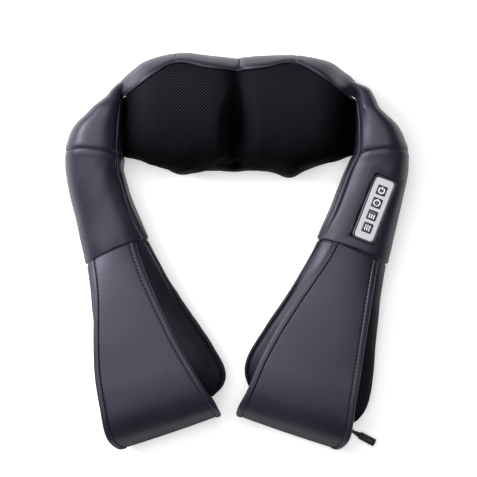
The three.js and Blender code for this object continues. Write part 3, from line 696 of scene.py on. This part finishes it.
def arm_skin(side):
    """The arm's surface: turned in at its seams and welt, overlapped at the loop, sunk under the panel."""
    x, y, z = arm_grid[..., 0], arm_grid[..., 1], arm_grid[..., 2]
    upper = smooth_step((z - 4) / 14)
    off_shoulder = (y - shoulder_seam(x)) * 0.98
    off_flap = (y - flap_seam(x)) * 0.93
    off_welt = np.linalg.norm(arm_grid - welt_line[:, None], axis=2)
    lift = upper * (0.5 * hill(np.abs(off_shoulder) - 5, 4) - 1.1 * hill(off_shoulder, 0.9))
    overlap = 1.6 * smooth_step(off_flap / 2.2) * hill(np.maximum(off_flap - 3, 0), 26)
    lift += upper * (overlap - 1.2 * hill(off_flap, 1.3))
    lift += 0.7 * hill(off_welt - 6, 3.5) - 1.5 * hill(off_welt, 2.0)
    puckers = wrinkles(arm_grid * [1, 0.45, 1], 11, 20 + side)
    lift += 0.5 * puckers * (hill(off_shoulder, 16) + hill(off_flap, 14))
    slanted = arm_grid @ np.array([[1.0, 0.35, 0], [-0.5 * side, 0.5, 0], [0, 0, 0.6]])
    lift += 0.8 * wrinkles(arm_grid, 46, 30 + side) + 0.45 * wrinkles(slanted, 17, 40 + side)
    if side > 0:
        along, across = on_panel(x, y)
        inside = np.minimum(panel_length / 2 - 0.6 - np.abs(along), panel_width / 2 - 0.6 - np.abs(across))
        sunk = 9 * smooth_step(inside / 1.8) + 0.9 * hill(np.minimum(inside, 0) + 1.5, 4)
        lift -= np.where(z > 40, sunk, 0)
    lift = np.where(z > 0.3, lift, 0)
    lift[[0, -1]] = 0
    return stuffed(arm_grid + arm_out * lift[..., None], side)


def mirrored(points, side):
    return np.asarray(points) * [side, 1, 1]


def bend_with_arm(made):
    """Bakes the piece's placement into its mesh."""
    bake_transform(made)


def arm_wadding(side):
    """The foam inside the arm, from just below its hinge, with room for the control panel on the right."""
    below = rows[:, 1] < 108
    core = (arm_grid - 4.5 * arm_out)[below]
    if side > 0:
        along, across = on_panel(core[..., 0], core[..., 1])
        under_panel = (np.abs(along) < panel_length / 2 + 1) & (np.abs(across) < panel_width / 2 + 1)
        core[..., 2] = np.where(under_panel, np.minimum(core[..., 2], 52), core[..., 2])
    return stuffed(core, side)


def seam_round(skin):
    """The line along which the shoulder seam crosses the arm's surface, from one edge over the top."""
    off_seam = skin[..., 1] - shoulder_seam(skin[..., 0])
    nearest, columns = np.abs(off_seam).argmin(axis=0), np.arange(skin.shape[1])
    crossing = skin[nearest, columns] - 0.1 * arm_out[nearest, columns]
    crossing = crossing[crossing[:, 2] > 6]
    return crossing[np.argsort(np.arctan2(crossing[:, 2] - 20, crossing[:, 0] - 168))]


for name, side in (("left", -1), ("right", 1)):
    wadding = loft(f"arm_wadding_{name}", mirrored(arm_wadding(side), side), foam)
    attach(wadding, f"arm_{name}")
    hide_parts(f"arm_foam_{name}")
    skin = arm_skin(side)
    arm = loft(f"arm_leather_{name}", mirrored(skin, side), leather)
    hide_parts(f"arm_cover_{name}", f"shoulder_pad_{name}")
    bend_with_arm(arm)
    seam_path = evenly(smooth_path(mirrored(seam_round(skin), side)[::2], 300), 2)
    seam_thread = tube(f"shoulder_seam_{name}", seam_path, 0.5, thread, 6)
    bend_with_arm(seam_thread)
    keep = (rows[:, 1] < 176) & (rows[:, 1] > -168)
    welt_path = evenly(smooth_path(mirrored(stuffed(welt_line, side)[keep], side)[::6], 900), 2)
    welt = tube(f"arm_welt_{name}", welt_path, welt_radius, leather)
    bend_with_arm(welt)

# ---------------------------------------------------------------- hand loops
# A wide leather strap is sewn across each arm, passes over the pad, folds round its end and returns
# underneath. Both long edges are bound, with a row of stitches beside the binding.
loop_rows = [
    [(114, 13), (167, -12), 55.5, 6.0],
    [(108, -6), (164, -30), 60.5, 5.0],
    [(96, -33), (160.5, -60), 65, 4.0],
    [(77, -68), (157.5, -98), 67.5, 3.0],
    [(58, -102), (154, -136), 68, 2.5],
    [(40, -133), (149.5, -166), 68, 2.0],
    [(25, -158), (144, -195), 64.5, 1.5],
    [(14.4, -174), (139, -212.5), 56, 1.0],
    [(9.8, -183.5), (132, -223), 42.5, 1.0],
    [(9.2, -187.5), (126, -227.2), 27, 1.0],
    [(11.5, -185), (125, -224.8), 12, 0.6],
    [(16, -177), (129, -216), 4.4, 0.3],
    [(24, -164), (134, -201), 2.2, 0],
    [(50, -120), (146, -150), 2.1, 0],
    [(80, -66), (155, -90), 2.1, 0],
]
loop_lean = 8
binding = 6
strap_half, binding_half = 1.2, 2.3
stitch_line = 7.1  # the stitches lie in a groove this far from the edge
lowest_leather, lowest_stitch = 0.05, 0.65
from_edge = np.array([0, 0.15, 0.5, 1.0, 1.6, 2.4, 4, 5.4, 6.0, 6.5, 7.1, 7.8, 8.6, 9.8, 14])
# how much further in the right loop reaches, against the distance down the arm
right_reach = [
    (-14, 3), (0, 6), (25, 11), (50, 13.5), (90, 13.5), (124, 11), (155, 5.5), (184, 1.2), (200, 0),
]


def strap_thickness(distance):
    """Half the strap's thickness at a distance from its edge: rounded edge, binding, groove, single layer."""
    layer = binding_half - (binding_half - strap_half) * smooth_step((distance - binding) / 0.7)
    rounded = np.sqrt(np.clip(1 - (1 - np.minimum(distance, binding_half) / binding_half) ** 2, 0, 1))
    return layer * rounded - 0.4 * hill(distance - stitch_line, 1.0)


def hand_loop(side):
    """The strap's rings, and the lines that its two rows of stitches follow."""
    rows = smooth_path([[*inner, *outer, z, crown] for inner, outer, z, crown in loop_rows], 900)
    centre = np.stack([(rows[:, 0] + rows[:, 2]) / 2, (rows[:, 1] + rows[:, 3]) / 2, rows[:, 4]], axis=1)
    measure = lengths_along(centre)
    rows = np.stack([np.interp(np.linspace(0, measure[-1], 230), measure, c) for c in rows.T], axis=1)
    lean = -side * loop_lean * smooth_step((14 - rows[:, 1]) / 134)
    wider = np.zeros(len(rows))
    outer_trim = -1.6 * smooth_step(-rows[:, 3] / 60) * smooth_step((rows[:, 3] + 215) / 40)
    if side > 0:
        wider = np.interp(-rows[:, 1], *zip(*right_reach)) * smooth_step((rows[:, 4] - 27) / 20)
        outer_trim = -4.6 * smooth_step((8 - rows[:, 3]) / 25) * smooth_step((rows[:, 3] + 228) / 60)
    inner = np.stack([rows[:, 0] + lean - wider, rows[:, 1], rows[:, 4]], axis=1)
    outer = np.stack([rows[:, 2] + lean + outer_trim, rows[:, 3], rows[:, 4]], axis=1)
    width = np.linalg.norm(outer - inner, axis=1)[:, None]
    way = np.gradient((inner + outer) / 2, axis=0)
    normal = np.cross(outer - inner, way)
    normal /= np.linalg.norm(normal, axis=1)[:, None]
    if normal[0, 2] < 0:
        normal = -normal
    middle = np.linspace(0, 1, 15)[1:-1]
    inside = from_edge[-1] + middle[None, :] * (width - 2 * from_edge[-1])
    near = np.broadcast_to(from_edge, (len(rows), len(from_edge)))
    distance = np.concatenate([near, inside, (width - near)[:, ::-1]], axis=1)
    share = (distance / width)[..., None]
    sheet = inner[:, None] + share * (outer - inner)[:, None]
    crown = rows[:, 5][:, None] * (1 - (2 * share[..., 0] - 1) ** 2) ** 0.9
    half = strap_thickness(np.minimum(distance, width - distance))
    sag = 0.5 * wrinkles(sheet, 40, 50 + side) * (rows[:, 4] > 30)[:, None]
    middle_height = crown + sag
    top = sheet + normal[:, None] * (middle_height + half)[..., None]
    under = sheet + normal[:, None] * (middle_height - half)[..., None]
    rings = np.concatenate([top, under[:, -2:0:-1]], axis=1)
    rings[..., 2] = np.maximum(rings[..., 2], lowest_leather)
    column = int(np.argmin(np.abs(from_edge - stitch_line)))
    lines = [mirrored(top[:, edge], side) for edge in (column, -1 - column)]
    for line in lines:
        line[:, 2] = np.maximum(line[:, 2], lowest_stitch)
    return mirrored(rings, side), lines


def stitch_tree():
    """Geometry Nodes: one small stitch laid along a line at every pitch."""
    tree = bpy.data.node_groups.new("stitch_row", "GeometryNodeTree")
    ports = tree.interface
    ports.new_socket("Line", in_out="INPUT", socket_type="NodeSocketGeometry")
    for port in ("Pitch", "Length", "Thickness"):
        ports.new_socket(port, in_out="INPUT", socket_type="NodeSocketFloat")
    ports.new_socket("Thread", in_out="INPUT", socket_type="NodeSocketMaterial")
    ports.new_socket("Stitches", in_out="OUTPUT", socket_type="NodeSocketGeometry")
    add = tree.nodes.new
    inputs, outputs = add("NodeGroupInput"), add("NodeGroupOutput")
    curve, points, shape, stretch = (
        add("GeometryNodeMeshToCurve"),
        add("GeometryNodeCurveToPoints"),
        add("GeometryNodeMeshUVSphere"),
        add("ShaderNodeCombineXYZ"),
    )
    points.mode = "LENGTH"
    shape.inputs["Segments"].default_value = 8
    shape.inputs["Rings"].default_value = 5
    shape.inputs["Radius"].default_value = 0.5
    turn = add("FunctionNodeAlignRotationToVector")
    turn.axis = "Z"
    sown, solid, coat = (
        add("GeometryNodeInstanceOnPoints"),
        add("GeometryNodeRealizeInstances"),
        add("GeometryNodeSetMaterial"),
    )
    wires = (
        (inputs, "Line", curve, "Mesh"),
        (curve, "Curve", points, "Curve"),
        (inputs, "Pitch", points, "Length"),
        (points, "Points", sown, "Points"),
        (points, "Tangent", turn, "Vector"),
        (turn, "Rotation", sown, "Rotation"),
        (shape, "Mesh", sown, "Instance"),
        (inputs, "Thickness", stretch, "X"),
        (inputs, "Thickness", stretch, "Y"),
        (inputs, "Length", stretch, "Z"),
        (stretch, "Vector", sown, "Scale"),
        (sown, "Instances", solid, "Geometry"),
        (solid, "Geometry", coat, "Geometry"),
        (inputs, "Thread", coat, "Material"),
        (coat, "Geometry", outputs, "Stitches"),
    )
    for source, leaving, target, entering in wires:
        tree.links.new(source.outputs[leaving], target.inputs[entering])
    return tree


stitch_row = stitch_tree()


def stitches(name, lines, pitch=4.6, length=3.1, thickness=1.4):
    """A plain mesh of stitches along lines given in millimetres."""
    vertices, edges = [], []
    for line in lines:
        first = len(vertices)
        vertices += (np.asarray(line) * mm).tolist()
        edges += [(first + i, first + i + 1) for i in range(len(line) - 1)]
    mesh = bpy.data.meshes.new(name + "_line")
    mesh.from_pydata(vertices, edges, [])
    guide = bpy.data.objects.new(name + "_line", mesh)
    bpy.context.scene.collection.objects.link(guide)
    sewing = guide.modifiers.new("sewing", "NODES")
    sewing.node_group = stitch_row
    values = {"Pitch": pitch * mm, "Length": length * mm, "Thickness": thickness * mm}
    values["Thread"] = thread.material
    for item in stitch_row.interface.items_tree:
        if item.in_out == "INPUT" and item.name in values:
            sewing[item.identifier] = values[item.name]
    graph = bpy.context.evaluated_depsgraph_get()
    made = bpy.data.objects.new(name, bpy.data.meshes.new_from_object(guide.evaluated_get(graph)))
    bpy.context.scene.collection.objects.link(made)
    bpy.data.objects.remove(guide)
    made.data.shade_smooth()
    return made


for name, side in (("left", -1), ("right", 1)):
    rings, lines = hand_loop(side)
    strap = loft(f"hand_loop_leather_{name}", rings, loop_leather)
    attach(strap, f"arm_{name}")
    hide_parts(f"hand_loop_{name}")
    sewn = stitches(f"hand_loop_stitches_{name}", lines)
    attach(sewn, f"arm_{name}")

# ---------------------------------------------------------------- control panel
# A raised black plastic frame let into the right arm, with a silver plate and four square rubber keys whose
# symbols are printed in white: power, direction, speed and heat.
black_plastic = Finish("black_plastic", base_color=colour(0.012, 0.012, 0.014), specular_ior_level=0.5)
black_plastic.set(roughness=black_plastic.noise(700) * 0.12 + 0.26)
black_plastic.bump(black_plastic.noise(3200, 2), 0.12, 0.08 * mm)
silver_plate = Finish("silver_plate", metallic=0.25, specular_ior_level=0.5)
flakes = silver_plate.noise(4200, 1)
silver_plate.set(
    base_color=silver_plate.mix(flakes, colour(0.34, 0.35, 0.38), colour(0.43, 0.44, 0.47)),
    roughness=flakes * 0.15 + 0.32,
)
key_rubber = Finish("key_rubber", base_color=colour(0.006, 0.006, 0.008))
key_rubber.set(roughness=key_rubber.noise(1500) * 0.1 + 0.4)
print_white = Finish("printed_symbol", base_color=colour(0.82, 0.83, 0.86))
print_white.set(roughness=print_white.noise(900) * 0.1 + 0.45)
print_grey = Finish("printed_grey", base_color=colour(0.08, 0.08, 0.085))
print_grey.set(roughness=print_grey.noise(900) * 0.1 + 0.5)

panel_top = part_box("panel_base")[1][2] / mm
panel_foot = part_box("panel_base")[0][2] / mm
key_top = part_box("button_power")[1][2] / mm
panel_shift = Matrix.Translation((panel_centre[0] * mm, panel_centre[1] * mm, 0))
panel_place = panel_shift @ Matrix.Rotation(panel_turn, 4, "Z")


def rounded_outline(length, width, corner, z, count=9):
    """A rectangle with round corners, as a ring of points at height z."""
    points = []
    for turn, (sx, sy) in enumerate(((1, 1), (-1, 1), (-1, -1), (1, -1))):
        for step in range(count):
            angle = (turn + step / (count - 1)) * math.pi / 2
            x = sx * (length / 2 - corner) + corner * math.cos(angle)
            y = sy * (width / 2 - corner) + corner * math.sin(angle)
            points.append((x, y, z))
    return points


def stepped(name, size, steps, finish, capped=True):
    """A body of rounded outlines: steps holds [how far inside the outer outline, height]."""
    length, width, corner = size
    rings = [rounded_outline(length - 2 * d, width - 2 * d, max(corner - d, 0.4), z) for d, z in steps]
    return loft(name, rings, finish, capped=capped)


def settle(made, body, slot, *nodes):
    """Puts a body drawn round the panel's centre in its place on the arm."""
    made.data.transform(panel_place)
    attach(made, body)
    if nodes:
        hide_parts(*nodes)


def carve_out(made, cutter):
    """Cuts the cutter's shape out of a body."""
    carve = made.modifiers.new("carve", "BOOLEAN")
    carve.object = cutter
    carve.operation = "DIFFERENCE"
    bpy.context.view_layer.objects.active = made
    bpy.ops.object.modifier_apply(modifier=carve.name)
    bpy.data.objects.remove(cutter)


lip = 2.3
frame_steps = [[0, panel_foot], [0, panel_top - 1.1], [0.3, panel_top - 0.4], [0.9, panel_top]]
frame_steps += [[lip - 0.5, panel_top], [lip - 0.1, panel_top - 0.3]]
frame_steps += [[lip, panel_top - 1], [lip, panel_foot + 1.5]]
panel_frame = stepped("panel_frame", (panel_length, panel_width, 5.5), frame_steps, black_plastic)
settle(panel_frame, "arm_right", "black_plastic", "panel_base")

plate_low = panel_top - 1.6
plate_steps = [[0, plate_low], [0, panel_top - 0.3], [0.15, panel_top - 0.08], [0.5, panel_top]]
plate_size = (panel_length - 2 * lip - 0.4, panel_width - 2 * lip - 0.4, 3.6)
silver = stepped("silver_plate", plate_size, plate_steps, silver_plate)
key_side = 10.9
key_pitch = 15
key_centres = [(1.5 - place) * key_pitch for place in range(4)]
window_side = key_side + 0.5
window_steps = [[0, plate_low - 2], [0, panel_top + 2]]
for centre in key_centres:
    window = stepped("window", (window_side, window_side, 1.2), window_steps, silver_plate)
    window.data.transform(Matrix.Translation((centre * mm, 0, 0)))
    carve_out(silver, window)
silver.data.shade_flat()
settle(silver, "arm_right", "silver_plastic", "panel_faceplate")


def stroke(points, width, low, high):
    """A printed line of even width as a thin prism's rings."""
    path = np.asarray(points, float)
    way = np.gradient(path, axis=0)
    way /= np.linalg.norm(way, axis=1)[:, None]
    left = np.stack([-way[:, 1], way[:, 0]], axis=1) * width / 2
    rings = []
    for p, n in zip(path, left):
        rings.append([(*(p + n), low), (*(p - n), low), (*(p - n), high), (*(p + n), high)])
    return rings


def arc(radius, start, end, count=28):
    angles = np.radians(np.linspace(start, end, count))
    return np.stack([radius * np.cos(angles), radius * np.sin(angles)], axis=1)


def line(x0, y0, x1, y1):
    return [(x0, y0), ((x0 + x1) / 2, (y0 + y1) / 2), (x1, y1)]


wave = np.linspace(-2.9, 2.9, 25)
symbols = {
    "power": [(arc(3.2, 118, 422), 1.1), (line(0, 1.0, 0, 4.4), 1.0)],
    "direction": [(arc(3.4, 98, 262), 1.0), (arc(3.4, 278, 442), 1.0), (line(0, 2.3, 0, 4.3), 0.9)],
    "speed": [(line(x, -3.6, x, 1.2), 1.1) for x in (-2.6, 0, 2.6)],
    "heat": [(np.stack([x + 0.45 * np.sin(wave * 1.7), wave * 1.15], axis=1), 0.85) for x in (-2.5, 0, 2.5)],
}
faint_symbols = {"direction": (arc(0.7, 0, 359, 12), 1.4), "speed": (line(-3.5, 3.2, 3.5, 3.2), 1.6)}
key_steps = [[0, plate_low - 1.2], [0, key_top - 0.7], [0.2, key_top - 0.25], [0.7, key_top]]
key_steps += [[1.6, key_top - 0.05]]
for centre, (name, strokes) in zip(key_centres, symbols.items()):
    key = stepped(f"key_{name}", (key_side, key_side, 1.0), key_steps, key_rubber)
    key.data.transform(Matrix.Translation((centre * mm, 0, 0)))
    settle(key, f"key_{name}", "rubber", f"button_{name}")
    faint = [faint_symbols[name]] if name in faint_symbols else []
    for number, (points, width) in enumerate(strokes + faint):
        # symbols are drawn right and up, and up runs along the panel towards its power end
        turned_points = [(centre + y, -x) for x, y in points]
        rings = stroke(turned_points, width, key_top - 0.3, key_top + 0.08)
        ink = print_grey if number == len(strokes) else print_white
        mark = loft(f"symbol_{name}_{number + 1}", rings, ink)
        mark.data.shade_flat()
        settle(mark, f"key_{name}", "silver_plastic")

# ---------------------------------------------------------------- zip
# The zip's slider sits at the mesh panel's right corner with its pull laid along the seam, and a bent metal
# stop closes the other end.
bright_metal = Finish("bright_metal", base_color=colour(0.55, 0.55, 0.57), metallic=1.0)
scratches = bright_metal.noise(1200, 3)
bright_metal.set(roughness=scratches * 0.25 + 0.18)
bright_metal.bump(scratches, 0.1, 0.05 * mm)
slider_low, slider_high = (np.array(corner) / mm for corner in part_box("zip_slider"))
slider_place = (slider_low + slider_high) / 2
pull_bends = np.array([(1, -1, 2.6), (3, -2.4, 3.2), (5.4, -5, 2.6), (7, -8, 1.8)])
pull = tube("zip_pull", smooth_path(slider_place + pull_bends, 16), 0.9, bright_metal, 12)
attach(pull, "root")
stop_bends = np.array([(3, -3.4, 1.6), (4.4, -1.4, 2.6), (6, -0.6, 2.8), (8, 0, 2.4)])
stop = tube("zip_stop", smooth_path(mirrored(slider_place, -1) + stop_bends, 16), 0.6, bright_metal, 12)
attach(stop, "root")

# ---------------------------------------------------------------- inside
# A foam bed with a pocket holds the plastic gearbox, which carries the motor, the kneading heads and the
# circuit boards. The foam is shaped here, and the other parts keep their own shapes under new finishes.
steel = Finish("turned_steel", base_color=colour(0.5, 0.5, 0.52), metallic=1.0)
steel.set(roughness=steel.noise(1600, 2) * 0.2 + 0.22)
bronze = Finish("sintered_bronze", metallic=1.0)
bronze.set(
    base_color=bronze.mix(bronze.noise(900), colour(0.45, 0.28, 0.1), colour(0.6, 0.4, 0.18)),
    roughness=bronze.noise(2200) * 0.25 + 0.35,
)
nylon = Finish("natural_nylon", specular_ior_level=0.5)
nylon.set(
    base_color=nylon.mix(nylon.noise(40), colour(0.7, 0.67, 0.58), colour(0.8, 0.77, 0.69)),
    roughness=nylon.noise(600) * 0.15 + 0.35,
)
board = Finish("circuit_board", specular_ior_level=0.5)
tracks = board.ramp(board.cells(260, feature="F1"), (0.42, 0), (0.46, 1))
board.set(
    base_color=board.mix(tracks, colour(0.01, 0.09, 0.035), colour(0.03, 0.19, 0.08)),
    roughness=tracks * 0.2 + 0.3,
)
inside_finishes = {
    "foam": foam,
    "steel": steel,
    "bronze": bronze,
    "nylon": nylon,
    "circuit_board": board,
    "black_plastic": black_plastic,
    "rubber": rubber,
}
slots = {entry["node"]: entry["material_slot"] for entry in frame["record"]["subparts"]}
foam_inset = 3.6
foam_top = 58
ring_stations = np.linspace(-neck_half + foam_inset, neck_half - foam_inset, 70)
foam_rings = np.array([neck_line(x, 0, 2 * math.pi, 61, foam_inset)[:-1] for x in ring_stations])
foam_rings[..., 2] = np.minimum(foam_rings[..., 2], foam_top)
neck_foam = loft("neck_wadding", foam_rings, foam)
head_y = 158
pocket_radius = 51.6
right_end = arc(pocket_radius, -90, 90) + (head_x, head_y)
left_end = arc(pocket_radius, 90, 270) + (-head_x, head_y)
pocket_outline = np.concatenate([right_end, left_end])
pocket_rings = [[(x, y, z) for x, y in pocket_outline] for z in (13.5, 80)]
carve_out(neck_foam, loft("pocket", pocket_rings, foam))
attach(neck_foam, "root")
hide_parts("neck_foam")
for node, made in frame["nodes"].items():
    if slots[node] in inside_finishes:
        for holder in made.material_slots:
            holder.material = inside_finishes[slots[node]].material
